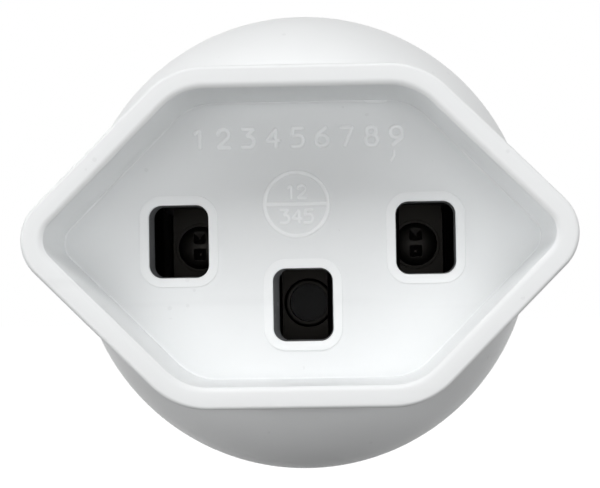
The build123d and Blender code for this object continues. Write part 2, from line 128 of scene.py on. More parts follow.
class HousingSizes(bpy.types.PropertyGroup):
    """Sizes of the white moulding."""

    half_height: length("Half height", "Middle of the recess to the collar's top", 12.38 * MM)
    reach: length("Reach", "Middle to the unrounded tip of the collar", 21.48 * MM)
    wall: length("Collar wall", "Thickness of the collar at its rim", 1.58 * MM)
    tip_radius: length("Tip radius", "Rounding of the two pointed ends", 3.4 * MM)
    corner_radius: length("Corner radius", "Rounding of the four blunt corners", 6.0 * MM)
    outer_draft: length("Outer draft", "Growth of the collar down to its base", 0.12 * MM)
    inner_draft: length("Inner draft", "Narrowing of the recess down to its floor", 0.14 * MM)
    outer_round: length("Outer rounding", "Rounding of the rim's outer edge", 0.3 * MM)
    inner_round: length("Inner rounding", "Rounding of the rim's inner edge", 0.65 * MM)
    inner_turn: angle("Inner turn", "Where that rounding ends in a crisp edge", 50)
    ledge_width: length("Ledge width", "Welded edge round the socket plate", 0.1 * MM)
    ledge_height: length("Ledge height", "Height of that edge above the floor", 0.08 * MM)
    floor_thickness: length("Floor thickness", "Thickness of the socket floor", 1.5 * MM)
    collar_skirt: length("Collar skirt", "How far the collar goes behind the floor", 0.5 * MM)
    heel_height: length("Heel height", "Height of the slope under the tips", 5.0 * MM)
    heel_inset: length("Heel inset", "How far the slope draws in", 2.6 * MM)
    shell_wall: length("Shell wall", "Thickness of the round shell", 1.6 * MM)
    shoulder: length("Shoulder", "Height where the round shell begins", 17.5 * MM)
    skirt: length("Skirt", "Straight height of the shell before its dome", 1.5 * MM)
    dome_flat: length("Dome flat", "Radius where the dome's curve would end", 5.0 * MM)
    dome_height: length("Dome height", "Height of the dome's curve", 12.0 * MM)
    boss_radius: length("Boss radius", "Outside of the bosses for the screws", 2.7 * MM)
    pilot_radius: length("Pilot radius", "Holes in those bosses", 1.25 * MM)
    boss_foot: length("Boss foot", "Height where those bosses begin", 12.1 * MM)


class MarkSizes(bpy.types.PropertyGroup):
    """Sizes of the socket holes and of what stands out of the socket floor."""

    hole_width: length("Hole width", "Width of a socket hole", 4.6 * MM)
    hole_height: length("Hole height", "Height of a socket hole", 5.6 * MM)
    hole_corner: length("Hole corner", "Corner rounding of a socket hole", 1.0 * MM)
    frame_width: length("Frame width", "Width of the raised edge round a hole", 0.72 * MM)
    frame_height: length("Frame height", "Height of the raised edge round a hole", 0.1 * MM)
    lip_depth: length("Lip depth", "Depth of the white lip of a hole", 0.2 * MM)
    liner: length("Liner", "Wall of the dark liner under that lip", 0.4 * MM)
    liner_taper: length("Liner taper", "How far the liner draws in", 0.08 * MM)
    digit_height: length("Digit height", "Height of the moulded numbers", 1.4 * MM)
    stroke_width: length("Stroke width", "Width of a moulded line", 0.3 * MM)
    stroke_height: length("Stroke height", "How far a moulded line stands out", 0.07 * MM)
    row_start: length("Row start", "Left end of the row of numbers", -8.3 * MM)
    row_end: length("Row end", "Right end of the row of numbers", 7.84 * MM)
    row_rise: length("Row rise", "Height of that row above the middle", 7.9 * MM)
    ring_radius: length("Ring radius", "Outside radius of the ring", 2.6 * MM)
    ring_x: length("Ring place", "Middle of the ring, to the right", -0.39 * MM)
    ring_z: length("Ring rise", "Middle of the ring, upwards", 2.76 * MM)
    small_height: length("Small digit height", "Height of the numbers in the ring", 1.0 * MM)
    flash_length: length("Flash length", "Oval of flash on the plate's edge", 1.85 * MM)
    flash_width: length("Flash width", "Width of that oval", 0.42 * MM)
    flash_x: length("Flash place", "Middle of that oval, to the right", 5.84 * MM)


class PlugSizes(bpy.types.PropertyGroup):
    """Sizes of the plug's fine forms."""

    edge_round: length("Edge rounding", "Rounding of moulded edges", 0.15 * MM)
    strip_round: length("Strip rounding", "Rounding of stamped edges", 0.06 * MM)
    pin_round: length("Pin rounding", "Rounding of the pins' turned edges", 0.05 * MM)
    screw_round: length("Screw rounding", "Rounding of the screws' edges", 0.04 * MM)


class StageSettings(bpy.types.PropertyGroup):
    """Camera, floor and light."""

    camera_x: length("Camera x", "Camera place to the right", 3.31 * MM)
    camera_y: length("Camera y", "Camera place along the pins", -172 * MM)
    camera_z: length("Camera z", "Camera place upwards", -3.84 * MM)
    yaw: angle("Yaw", "Turn of the camera about the upright", -1.38)
    pitch: angle("Pitch", "Tilt of the camera", 1.39)
    roll: angle("Roll", "Turn of the camera about its own axis", 0.95)
    focal_pixels: number("Focal length", "In pixels of the photograph", 1879.9)
    floor_drop: length("Floor drop", "Depth of the floor under the middle", 60 * MM)
    front_power: power("Front power", "Power of the low softbox in front", 1.15)
    left_power: power("Left power", "Power of the softbox on the left", 0.95)
    right_power: power("Right power", "Power of the softbox on the right", 0.65)
    top_power: power("Top power", "Power of the softbox above", 2.05)
    sky: share("Sky", "Strength of the even light from all round", 0.1)
    glow_start: length("Glow start", "Distance where the floor's glow begins to grow", 60 * MM)
    glow_end: length("Glow end", "Distance where that glow is full", 260 * MM)
    glow_least: share("Least glow", "The floor's glow under the object", 0.45)
    glow_most: share("Most glow", "The floor's glow far from the object", 0.95)


class FinishColours(bpy.types.PropertyGroup):
    """Colours of the finishes."""

    white: colour("White plastic", "Moulded housing", (0.905, 0.917, 0.921))
    # The floor's white, darker than the collar's: partly another moulding, partly painted shade of
    # the recess.
    plate: colour("Plate", "White of the socket floor", (0.85, 0.864, 0.869))
    black: colour("Black plastic", "Plug base", (0.022, 0.022, 0.024))
    carrier: colour("Carrier plastic", "Chambers and sleeve holder", (0.014, 0.014, 0.015))
    # The liners' dark grey is partly dark plastic and partly painted shade on the holes' walls.
    liner: colour("Liner", "Dark liners of the holes", (0.12, 0.122, 0.126))
    # The earth parts' darker nickel is painted shade of the deep earth hole.
    nickel: colour("Nickel", "Plating, darker on the earth parts", (0.70, 0.67, 0.62))
    # The near black of the contact strips, washers and rivet is painted shade of the deep holes.
    bronze: colour("Bronze", "Blackened contact strips", (0.026, 0.0245, 0.0225))
    steel: colour("Steel", "Screws", (0.52, 0.52, 0.54))
    blackened: colour("Blackened steel", "Bands round the leaves", (0.05, 0.05, 0.052))


def settings(group):
    """The scene's property group of this name."""
    return getattr(bpy.context.scene, group)


# Shapes


def rounded_path(corners, radii, closed=True, pitch=0.3 * MM, turn=radians(6)):
    """Points of a path with rounded corners, and the unit normals to its right.

    A corner where the path turns by t gets the arc of radius r that touches both sides. It starts
    r * tan(t / 2) before the corner, and its centre lies r to the inner side. Straight stretches
    are divided evenly, at about the pitch.
    """
    corners = np.asarray(corners, float)
    count = len(corners)
    arcs, arc_normals = [], []
    for i in range(count):
        here = corners[i]
        before = here - corners[i - 1]
        after = corners[(i + 1) % count] - here
        if not closed and i == 0:
            before = after
        if not closed and i == count - 1:
            after = before
        before = before / np.hypot(*before)
        after = after / np.hypot(*after)
        swing = np.arctan2(before[0] * after[1] - before[1] * after[0], before @ after)
        cut = radii[i] * np.tan(abs(swing) / 2)
        begin = here - before * cut
        side = np.sign(swing) or 1.0
        centre = begin + side * radii[i] * np.array([-before[1], before[0]])
        steps = np.linspace(0, swing, max(2, int(np.ceil(abs(swing) / turn)) + 1))
        c, s = np.cos(steps), np.sin(steps)
        arm = begin - centre
        right = np.array([before[1], -before[0]])
        arcs.append(centre + np.c_[c * arm[0] - s * arm[1], s * arm[0] + c * arm[1]])
        arc_normals.append(np.c_[c * right[0] - s * right[1], s * right[0] + c * right[1]])
        if cut == 0:
            arcs[-1] = here[None]
            middle = arc_normals[-1][0] + arc_normals[-1][-1]
            arc_normals[-1] = (middle / np.hypot(*middle))[None]
    points, normals = [], []
    for i in range(count):
        points.append(arcs[i])
        normals.append(arc_normals[i])
        if not closed and i == count - 1:
            break
        gap = arcs[(i + 1) % count][0] - arcs[i][-1]
        span = np.hypot(*gap)
        inner = np.linspace(0, 1, max(2, int(round(span / pitch)) + 1))[1:-1, None]
        points.append(arcs[i][-1] + inner * gap)
        straight = np.array([gap[1], -gap[0]]) / max(span, 1e-12)
        normals.append(np.repeat(straight[None], len(inner), 0))
    return np.concatenate(points), np.concatenate(normals)


def ring_faces(around, along, ends_meet):
    """Faces of a closed tube of rings. Vertex (i, j) is number i * along + j."""
    i, j = np.mgrid[:around, : along if ends_meet else along - 1]
    k, m = (i + 1) % around, (j + 1) % along
    faces = np.stack([i * along + j, k * along + j, k * along + m, i * along + m], -1)
    faces = faces.reshape(-1, 4).tolist()
    if not ends_meet:
        ring = np.arange(around) * along
        faces.append(ring.tolist())
        faces.append((ring[::-1] + along - 1).tolist())
    return faces


def add_object(name, data):
    """A new object in the scene."""
    made = bpy.data.objects.new(name, data)
    bpy.context.scene.collection.objects.link(made)
    return made


def tube(name, across, height, ends_meet=False):
    """A closed piece of rings: across[i, j] is x and z, with i round a ring and j along."""
    points = np.stack(np.broadcast_arrays(across[..., 0], -height, across[..., 1]), -1)
    around, along = points.shape[:2]
    mesh = bpy.data.meshes.new(name)
    mesh.from_pydata(points.reshape(-1, 3).tolist(), [], ring_faces(around, along, ends_meet))
    work = bmesh.new()
    work.from_mesh(mesh)
    bmesh.ops.remove_doubles(work, verts=work.verts, dist=0.0001 * MM)
    bmesh.ops.recalc_face_normals(work, faces=work.faces)
    work.to_mesh(mesh)
    work.free()
    return add_object(name, mesh)


def carried(name, outline, normals, profile, ends_meet=False, lean=0.0):
    """A profile carried round an outline: outline(u) - inset(u, v) * normal(u), at height(v).

    The inset is the profile's. Where that is above 0, it grows by the share lean * -normal x on
    the left side.
    """
    inset, height = np.asarray(profile).T
    inset = inset + lean * (-normals[:, :1]).clip(0) * inset.clip(0)
    across = outline[:, None] - inset[..., None] * normals[:, None]
    return tube(name, across, height, ends_meet)


def circle(count):
    """Unit vectors evenly round a circle: (cos, sin)."""
    bearing = np.linspace(0, 2 * pi, count, endpoint=False)
    return np.c_[np.cos(bearing), np.sin(bearing)]


def turned(name, profile, centre, around, ends_meet=False):
    """A profile of radii and heights turned about the axis through centre: r * (cos, sin)."""
    radius, height = np.asarray(profile).T
    across = centre + radius[:, None] * circle(around)[:, None]
    return tube(name, across, height, ends_meet)


def prism(name, outline, low, high):
    """A closed outline carried straight from one height to another."""
    return carried(name, outline, np.zeros_like(outline), [(0, low), (0, high)])


def carve(piece, tool, operation):
    """Joins another closed piece, or cuts it away, and removes it."""
    modifier = piece.modifiers.new("carve", "BOOLEAN")
    modifier.object = tool
    modifier.operation = operation
    modifier.solver = "EXACT"
    bpy.context.view_layer.update()
    graph = bpy.context.evaluated_depsgraph_get()
    mesh = bpy.data.meshes.new_from_object(piece.evaluated_get(graph))
    piece.modifiers.clear()
    piece.data = mesh
    bpy.data.objects.remove(tool)


def pointed_outline(inset):
    """The collar's six-sided outline, drawn in by inset, with its normals outwards."""
    sizes = settings("adapter_housing")
    half, reach = sizes.half_height, sizes.reach
    shoulder = reach - half
    corners = [(reach, 0), (shoulder, half), (-shoulder, half)]
    corners += [(-x, -z) for x, z in corners]
    radii = [sizes.tip_radius] + [sizes.corner_radius] * 2
    outline, normals = rounded_path(corners, radii * 2, turn=radians(3))
    return outline - inset * normals, normals


SQUARE = np.array([(0.5, -0.5), (0.5, 0.5), (-0.5, 0.5), (-0.5, -0.5)])


def hole_outline(centre, margin):
    """A socket hole's outline, grown by margin, with its normals outwards."""
    sizes = settings("adapter_marks")
    corners = SQUARE * (sizes.hole_width, sizes.hole_height) + centre
    outline, normals = rounded_path(corners, [sizes.hole_corner] * 4, pitch=0.2 * MM)
    return outline + margin * normals, normals


def finish_piece(piece, material, sharp=35.0):
    """Smooths a piece between its sharp edges, gives it its material and lets it ride."""
    piece.data.shade_smooth()
    piece.data.set_sharp_from_angle(angle=radians(sharp))
    modifier = piece.modifiers.new("flat faces stay flat", "WEIGHTED_NORMAL")
    modifier.keep_sharp = True
    piece.data.materials.clear()
    piece.data.materials.append(material)
    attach(piece, "root")


MERGE_DISTANCE = 0.001 * MM
FLAT_TURN = radians(0.6)
EDGE_TURN = radians(40)


def refined_copy(node, name, edge_round):
    """A copy of a CAD node with its flat faces merged and its edges rounded."""
    mesh = frame["nodes"][node].data.copy()
    work = bmesh.new()
    work.from_mesh(mesh)
    bmesh.ops.remove_doubles(work, verts=work.verts, dist=MERGE_DISTANCE)
    bmesh.ops.dissolve_limit(work, angle_limit=FLAT_TURN, verts=work.verts, edges=work.edges)
    work.to_mesh(mesh)
    work.free()
    piece = add_object(name, mesh)
    bevel = piece.modifiers.new("edges", "BEVEL")
    bevel.width = edge_round
    bevel.segments = 2
    bevel.limit_method = "ANGLE"
    bevel.angle_limit = EDGE_TURN
    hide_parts(node)
    return piece


def dress(nodes, ending, edge_round, material):
    """Dresses CAD nodes as refined copies with one finish."""
    for node in nodes:
        piece = refined_copy(node, f"{node}_{ending}", edge_round)
        finish_piece(piece, finish(material))


# Finishes


# Shares of a colour, from least to most tone, and where plastic is scratched and specked.
PLASTIC_TONES = (0.97, 1.02)
METAL_TONES = (0.9, 1.05)
PALE_WEAR = (0.8, 0.55)
DARK_WEAR = (3.0, 2.0)
SCRATCHED_METAL = 0.7
# Painted shade on the pins' heads deep in the holes: the share of colour left there.
SUNK_SHADE_SHARE = 0.12
# The painted shade comes with this much more roughness, where Object Y is under the edge.
SUNK_ROUGHNESS = 0.3
# Where that painted shade ends: 0.2 mm past the washers' lowest Object Y.
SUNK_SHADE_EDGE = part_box("line_washer")[0].y + 0.2 * MM
PLASTICS = {
    "white_plastic": dict(base="white", roughness=0.36, depth=0.006, wear=0.12, gloss=0.25),
    # The floor: partly another white, partly painted shade of the recess.
    "plate_plastic": dict(base="plate", roughness=0.38, depth=0.006, wear=0.12, gloss=0.25),
    # The moulded marks: the white made lighter by the tint, a painted highlight on the numbers,
    # ring and flash.
    "mark_plastic": dict(
        base="white", tint=1.06, roughness=0.3, depth=0.003, wear=0.05, gloss=0.3
    ),
    "black_plastic": dict(
        base="black", roughness=0.5, scale=3200.0, depth=0.04, wear=0.6, gloss=0.3
    ),
    # Partly dark plastic, partly painted shade on the holes' walls.
    "liner_plastic": dict(base="liner", roughness=0.6, depth=0.02, wear=0.4),
    "carrier_plastic": dict(base="carrier", roughness=0.6, depth=0.02, wear=0.4, gloss=0.12),
}
METALS = {
    # The pins' heads, deep in the holes, get painted shade.
    "pin_nickel": dict(
        base="nickel", roughness=0.26, scale=9000.0, wear=0.25, shaded_below=SUNK_SHADE_EDGE
    ),
    # The earth strap and sleeve: nickel at half its colour, painted shade of the deep earth hole.
    "nickel": dict(base="nickel", tint=0.5, roughness=0.5, scale=9000.0, wear=0.4),
    # Near-black bronze: painted shade of the deep holes.
    "bronze": dict(base="bronze", roughness=0.45, scale=5000.0, wear=0.5),
    "blackened_steel": dict(base="blackened", roughness=0.5, scale=6000.0, wear=0.5),
    "steel": dict(base="steel", roughness=0.34, scale=6000.0, wear=0.5),
}


def feed(tree, value, socket):
    """Links a socket to another, or sets it to a number or a colour."""
    if isinstance(value, bpy.types.NodeSocket):
        tree.links.new(value, socket)
    elif socket.type == "RGBA":
        socket.default_value = (*value, 1.0)
    else:
        socket.default_value = value


def add_node(tree, kind, **inputs):
    """Adds a node, with underscores in its input names standing for spaces."""
    node = tree.nodes.new(kind)
    for name, value in inputs.items():
        feed(tree, value, node.inputs[name.replace("_", " ")])
    return node


def new_group(name, inputs, outputs):
    """An empty shader node group with number inputs and outputs."""
    tree = bpy.data.node_groups.new(name, "ShaderNodeTree")
    kind = {"socket_type": "NodeSocketFloat"}
    for label, default in inputs.items():
        tree.interface.new_socket(name=label, in_out="INPUT", **kind).default_value = default
    for label in outputs:
        tree.interface.new_socket(name=label, in_out="OUTPUT", **kind)
    source = tree.nodes.new("NodeGroupInput").outputs
    sink = tree.nodes.new("NodeGroupOutput").inputs
    return tree, source, sink


def math_node(tree, operation, first, second):
    """Adds a math node. Each operand is a socket or a number."""
    node = tree.nodes.new("ShaderNodeMath")
    node.operation = operation
    feed(tree, first, node.inputs[0])
    feed(tree, second, node.inputs[1])
    return node.outputs[0]


def clamped(tree, value):
    """Holds a value between 0 and 1."""
    return math_node(tree, "MINIMUM", math_node(tree, "MAXIMUM", value, 0.0), 1.0)


def object_place(tree):
    """The Object coordinates."""
    return tree.nodes.new("ShaderNodeTexCoord").outputs["Object"]


def drawn_place(tree, scale, turn=(0.0, 0.0, 0.0)):
    """The Object coordinates, turned and drawn out."""
    return add_node(
        tree, "ShaderNodeMapping", Vector=object_place(tree), Rotation=turn, Scale=scale
    ).outputs["Vector"]


def noise(tree, place, scale, detail, roughness=0.5):
    """Noise at a place. Its scale is a socket or a number."""
    return add_node(
        tree, "ShaderNodeTexNoise", Vector=place, Scale=scale, Detail=detail, Roughness=roughness
    ).outputs["Fac"]


def grain_group():
    """Moulded grain: fine noise as height, and slow noise as tone."""
    tree, source, sink = new_group("moulded grain", {"Scale": 2000.0}, ["Height", "Tone"])
    place = object_place(tree)
    feed(tree, noise(tree, place, source["Scale"], 3.0, 0.6), sink["Height"])
    feed(tree, noise(tree, place, 140.0, 2.0), sink["Tone"])
    return tree


def speck_group():
    """Sparse specks: the middles of scattered cells, kept where a slow noise is high."""
    tree, source, sink = new_group(
        "specks", {"Scale": 700.0, "Size": 0.12, "Spread": 0.62}, ["Mask"]
    )
    place = object_place(tree)
    cells = add_node(tree, "ShaderNodeTexVoronoi", Vector=place, Scale=source["Scale"])
    near = math_node(tree, "LESS_THAN", cells.outputs["Distance"], source["Size"])
    rare = math_node(tree, "GREATER_THAN", noise(tree, place, 260.0, 1.0), source["Spread"])
    feed(tree, math_node(tree, "MULTIPLY", near, rare), sink["Mask"])
    return tree


def scratch_group():
    """Fine scratches: noise drawn out along one direction, kept only where it peaks."""
    tree, source, sink = new_group(
        "scratches", {"Scale": 300.0, "Rarity": 0.68, "Gain": 14.0}, ["Mask"]
    )
    place = drawn_place(tree, (0.06, 1.0, 1.6), (0.4, 0.7, 0.5))
    lines = noise(tree, place, source["Scale"], 2.0, 0.4)
    peak = math_node(tree, "SUBTRACT", lines, source["Rarity"])
    feed(tree, math_node(tree, "MULTIPLY", peak, source["Gain"]), sink["Mask"])
    return tree


def turned_group():
    """Turned or drawn metal: fine lines square to the pins' direction, a little uneven."""
    tree, source, sink = new_group("turned lines", {"Scale": 9000.0}, ["Height", "Tone"])
    place = drawn_place(tree, (0.02, 1.0, 0.02))
    feed(tree, noise(tree, place, source["Scale"], 4.0, 0.7), sink["Height"])
    feed(tree, noise(tree, object_place(tree), 400.0, 2.0), sink["Tone"])
    return tree


def sunk_shade_group():
    """Painted shade deep in a hole: full where Object Y is under Edge, and gone a Fade further on.
    """
    tree, source, sink = new_group("tarnish", {"Edge": 0.0, "Fade": 0.0004}, ["Mask"])
    split = tree.nodes.new("ShaderNodeSeparateXYZ")
    feed(tree, object_place(tree), split.inputs[0])
    past = math_node(tree, "SUBTRACT", split.outputs["Y"], source["Edge"])
    held = clamped(tree, math_node(tree, "DIVIDE", past, source["Fade"]))
    feed(tree, math_node(tree, "SUBTRACT", 1.0, held), sink["Mask"])
    return tree


def place_group(tree, name, make, **inputs):
    """Places a node group, made the first time it is asked for, and gives its outputs."""
    node = tree.nodes.new("ShaderNodeGroup")
    node.node_tree = bpy.data.node_groups.get(name) or make()
    for label, value in inputs.items():
        node.inputs[label].default_value = value
    return node.outputs


def mix_colour(tree, mask, first, second):
    """Adds a mix of two colours. Each is a socket or a colour."""
    node = tree.nodes.new("ShaderNodeMix")
    node.data_type = "RGBA"
    feed(tree, mask, node.inputs["Factor"])
    for label, value in (("A", first), ("B", second)):
        feed(tree, value, [s for s in node.inputs if s.name == label and s.type == "RGBA"][0])
    return [s for s in node.outputs if s.type == "RGBA"][0]


def stretch(tree, value, low, high, start=0.0, end=1.0):
    """Maps start..end to low..high."""
    ends = {"From_Min": start, "From_Max": end, "To_Min": low, "To_Max": high}
    return add_node(tree, "ShaderNodeMapRange", Value=value, **ends).outputs["Result"]


def bump(tree, shader, height, strength, distance):
    """Feeds a height to the shader's normal."""
    node = add_node(tree, "ShaderNodeBump", Strength=strength, Distance=distance, Height=height)
    feed(tree, node.outputs["Normal"], shader.inputs["Normal"])


def new_material(name):
    """A material with its node tree and its shader."""
    material = bpy.data.materials.new(name)
    material.use_nodes = True
    tree = material.node_tree
    return material, tree, tree.nodes["Principled BSDF"]


def tinted(base, factor):
    """A colour made lighter or darker."""
    return tuple(min(1.0, channel * factor) for channel in base)


def plastic(name, base, roughness, depth, wear, tint=1.0, scale=2600.0, gloss=0.5):
    """Moulded plastic: slow tone, fine grain of a depth in mm, specks and fine scratches.

    Specks and scratches darken a pale plastic and lighten a dark one.
    """
    material, tree, shader = new_material(name)
    base = tinted(getattr(settings("adapter_colours"), base), tint)
    scratched, specked = PALE_WEAR if base[0] > 0.5 else DARK_WEAR
    grain = place_group(tree, "moulded grain", grain_group, Scale=scale)
    specks = place_group(tree, "specks", speck_group)
    scratches = place_group(tree, "scratches", scratch_group)
    dotted = mix_colour(tree, grain["Tone"], *(tinted(base, tone) for tone in PLASTIC_TONES))
    mask = clamped(tree, math_node(tree, "MULTIPLY", scratches["Mask"], wear))
    dotted = mix_colour(tree, mask, dotted, tinted(base, scratched))
    mask = math_node(tree, "MULTIPLY", specks["Mask"], wear)
    dotted = mix_colour(tree, mask, dotted, tinted(base, specked))
    rough = stretch(tree, grain["Tone"], roughness - 0.05, roughness + 0.05)
    feed(tree, dotted, shader.inputs["Base Color"])
    feed(tree, rough, shader.inputs["Roughness"])
    shader.inputs["Specular IOR Level"].default_value = gloss
    bump(tree, shader, grain["Height"], 0.5, depth * MM)
    return material


def metal(name, base, roughness, scale, wear, tint=1.0, shaded_below=None):
    """Plated or drawn metal: fine lines, slow tone and scratches.

    Where the last argument gives an Object Y, the metal below it is darkened as painted shade, and
    dull.
    """
    material, tree, shader = new_material(name)
    base = tinted(getattr(settings("adapter_colours"), base), tint)
    lines = place_group(tree, "turned lines", turned_group, Scale=scale)
    scratches = place_group(tree, "scratches", scratch_group, Scale=500.0)
    marked = mix_colour(tree, lines["Tone"], *(tinted(base, tone) for tone in METAL_TONES))
    mask = clamped(tree, math_node(tree, "MULTIPLY", scratches["Mask"], wear))
    marked = mix_colour(tree, mask, marked, tinted(base, SCRATCHED_METAL))
    rough = stretch(tree, lines["Height"], roughness - 0.06, roughness + 0.08)
    if shaded_below is not None:
        tarnish = place_group(tree, "tarnish", sunk_shade_group, Edge=shaded_below)["Mask"]
        # Painted shade: the colour darkened below the edge.
        marked = mix_colour(tree, tarnish, marked, tinted(base, SUNK_SHADE_SHARE))
        dulled = math_node(tree, "MULTIPLY", tarnish, SUNK_ROUGHNESS)
        rough = math_node(tree, "ADD", rough, dulled)
    feed(tree, marked, shader.inputs["Base Color"])
    feed(tree, rough, shader.inputs["Roughness"])
    shader.inputs["Metallic"].default_value = 1.0
    bump(tree, shader, lines["Height"], 0.25, 0.01 * MM)
    return material


def finish(name):
    """The material of this name, made the first time it is asked for."""
    found = bpy.data.materials.get(name)
    if found:
        return found
    if name in PLASTICS:
        return plastic(name, **PLASTICS[name])
    return metal(name, **METALS[name])


# Pieces


BASE_ROUND = 0.4 * MM
SHELL_EDGE = 0.2 * MM
SHELL_CORNER = 0.3
BOSS_OVERLAP = 0.3 * MM
FLOOR_SLACK = 0.01 * MM
DOME_STEPS = 40


class ADAPTER_OT_housing(bpy.types.Operator):
    """Makes the white housing: pointed collar, recess floor and domed shell in one"""

    bl_idname = "adapter.housing"
    bl_label = "Front housing"

    def execute(self, context):
        sizes = settings("adapter_housing")
        outline, normals = pointed_outline(0)
        back = FLOOR - sizes.floor_thickness
        base = back - sizes.collar_skirt
        heel = base - sizes.heel_height
        inner = sizes.wall + sizes.inner_draft
        ledge = inner + sizes.ledge_width
        ledge_top = FLOOR + sizes.ledge_height
        side = sizes.inner_round * tan(sizes.inner_turn / 2)
        crisp = sizes.wall + sizes.inner_draft / 3
        # Each corner: inset from the outline, height and rounding.
        corners = np.array(
            [
                (ledge + sizes.ledge_width, FLOOR, 0),
                (ledge, FLOOR, 0),
                (ledge, ledge_top, sizes.ledge_height / 3),
                (inner, ledge_top, 0),
                (crisp, RIM - side * sin(sizes.inner_turn), 0),
                (crisp - side * cos(sizes.inner_turn), RIM, sizes.inner_round * 0.999),
                (0, RIM, sizes.outer_round),
                (-sizes.outer_draft, base, BASE_ROUND),
                (sizes.heel_inset, heel, 0),
                (sizes.heel_inset + sizes.shell_wall / 2, heel, 0),
                (sizes.wall, base, 0),
                (sizes.wall, back, 0),
            ]
        )
        profile, _ = rounded_path(
            corners[:, :2], corners[:, 2], closed=False, pitch=1.2 * MM, turn=radians(12)
        )
        housing = carried("front_housing_shell", outline, normals, profile)
        bend = np.linspace(0, pi / 2, DOME_STEPS)
        rise = sizes.shoulder + sizes.skirt
        bore = SHELL_RADIUS - sizes.shell_wall
        flat, tall = sizes.dome_flat, sizes.dome_height
        outer, lining = (
            np.c_[flat + (radius - flat) * np.cos(bend), rise + height * np.sin(bend)]
            for radius, height in ((SHELL_RADIUS, tall), (bore, tall - sizes.shell_wall))
        )
        corner = SHELL_CORNER * SHELL_EDGE
        foot = [
            (bore, sizes.shoulder),
            (SHELL_RADIUS - SHELL_EDGE, sizes.shoulder),
            (SHELL_RADIUS - corner, sizes.shoulder + corner),
            (SHELL_RADIUS, sizes.shoulder + SHELL_EDGE),
        ]
        top = [(0, outer[-1, 1])]
        low_top = [(0, lining[-1, 1])]
        shell = np.concatenate([low_top, lining[::-1], foot, outer, top])
        dome = turned("dome", shell, (0, 0), 240)
        middle, _ = pointed_outline(sizes.wall / 2)
        inside = prism("inside", middle, FLOOR - sizes.floor_thickness / 2, RIM)
        carve(dome, inside, "DIFFERENCE")
        carve(housing, dome, "UNION")
        boss_top = back + BOSS_OVERLAP
        boss = [
            (sizes.pilot_radius, sizes.boss_foot),
            (sizes.boss_radius, sizes.boss_foot),
            (sizes.boss_radius, boss_top),
            (sizes.pilot_radius, boss_top),
        ]
        for centre in SCREW_PLACES:
            carve(housing, turned("boss", boss, centre, 48, ends_meet=True), "UNION")
        for centre in HOLE_PLACES:
            cutter, _ = hole_outline(centre, settings("adapter_marks").liner)
            carve(housing, prism("hole", cutter, back - MM, FLOOR + MM), "DIFFERENCE")
        finish_piece(housing, finish("white_plastic"))
        # The floor faces take the darker plate white: partly painted shade of the recess.
        housing.data.materials.append(finish("plate_plastic"))
        middles = np.empty(3 * len(housing.data.polygons))
        housing.data.polygons.foreach_get("center", middles)
        on_floor = abs(middles[1::3] + FLOOR) < FLOOR_SLACK
        housing.data.polygons.foreach_set("material_index", on_floor.astype(np.int32))
        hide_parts("front_housing", "socket_plate")
        return {"FINISHED"}


# Each digit's strokes, as corners with their rounding in a cell 4 wide and 6 tall. A stroke that
# begins with a rounded corner is closed.
GLYPHS = {
    "1": [[(0.6, 4.7, 0), (2.2, 6, 0.3), (2.2, 0, 0)]],
    "2": [
        [(0.2, 4.2, 0), (0.2, 6, 1.7), (3.8, 6, 1.7), (3.8, 3.6, 1.4), (0.1, 0, 0.2), (4, 0, 0)]
    ],
    "3": [
        [(0.2, 6, 0), (3.8, 6, 0.2), (1.6, 3.6, 0.2), (3.9, 3.6, 1.5), (3.9, 0, 1.7), (0.1, 0, 0)]
    ],
    "4": [[(3.1, 0, 0), (3.1, 6, 0.2), (0.1, 1.9, 0.2), (4.1, 1.9, 0)]],
    "5": [
        [(3.7, 6, 0), (0.6, 6, 0.2), (0.3, 3.5, 0.2), (3.9, 3.9, 1.6), (3.9, 0, 1.7), (0.1, 0, 0)]
    ],
    "6": [
        [(3.2, 6, 0), (0.1, 3.6, 1.6), (0.1, 0, 1.7), (3.9, 0, 1.7)]
        + [(3.9, 3.6, 1.7), (0.1, 3.6, 1.5), (0.1, 2, 0)]
    ],
    "7": [[(0.2, 6, 0), (3.8, 6, 0.2), (1.3, 0, 0)]],
    "8": [
        [(0.5, 3.2, 1.3), (3.5, 3.2, 1.3), (3.5, 6, 1.3), (0.5, 6, 1.3)],
        [(0.1, 0, 1.5), (3.9, 0, 1.5), (3.9, 3.2, 1.5), (0.1, 3.2, 1.5)],
    ],
    "9": [
        [(0.8, 0, 0), (3.9, 2.4, 1.6), (3.9, 6, 1.7), (0.1, 6, 1.7)]
        + [(0.1, 2.4, 1.7), (3.9, 2.4, 1.5), (3.9, 4, 0)]
    ],
}
GLYPH_TALL = 6.0
GLYPH_WIDE = 4.0
ROW_DIGITS = "123456789"
# In the ring: the digits, half the width they take, and their rise from its middle.
RING_DIGITS = (("12", 0.75 * MM, 0.95 * MM), ("345", 1.25 * MM, -0.95 * MM))
THIN = 0.7
NICK = np.array([(7.2, 6.72), (7.17, 6.35), (6.96, 5.98)]) * MM
NICK_ROUND = 0.2 * MM
CAP_STEPS = 4
FRAME_SOFTNESS = 0.4
LINER_GAP = 0.05 * MM
LINER_FIT = 0.8
LINER_ROUND = 0.1 * MM
FLASH_DROP = 0.03 * MM
FLASH_RISE = 0.4


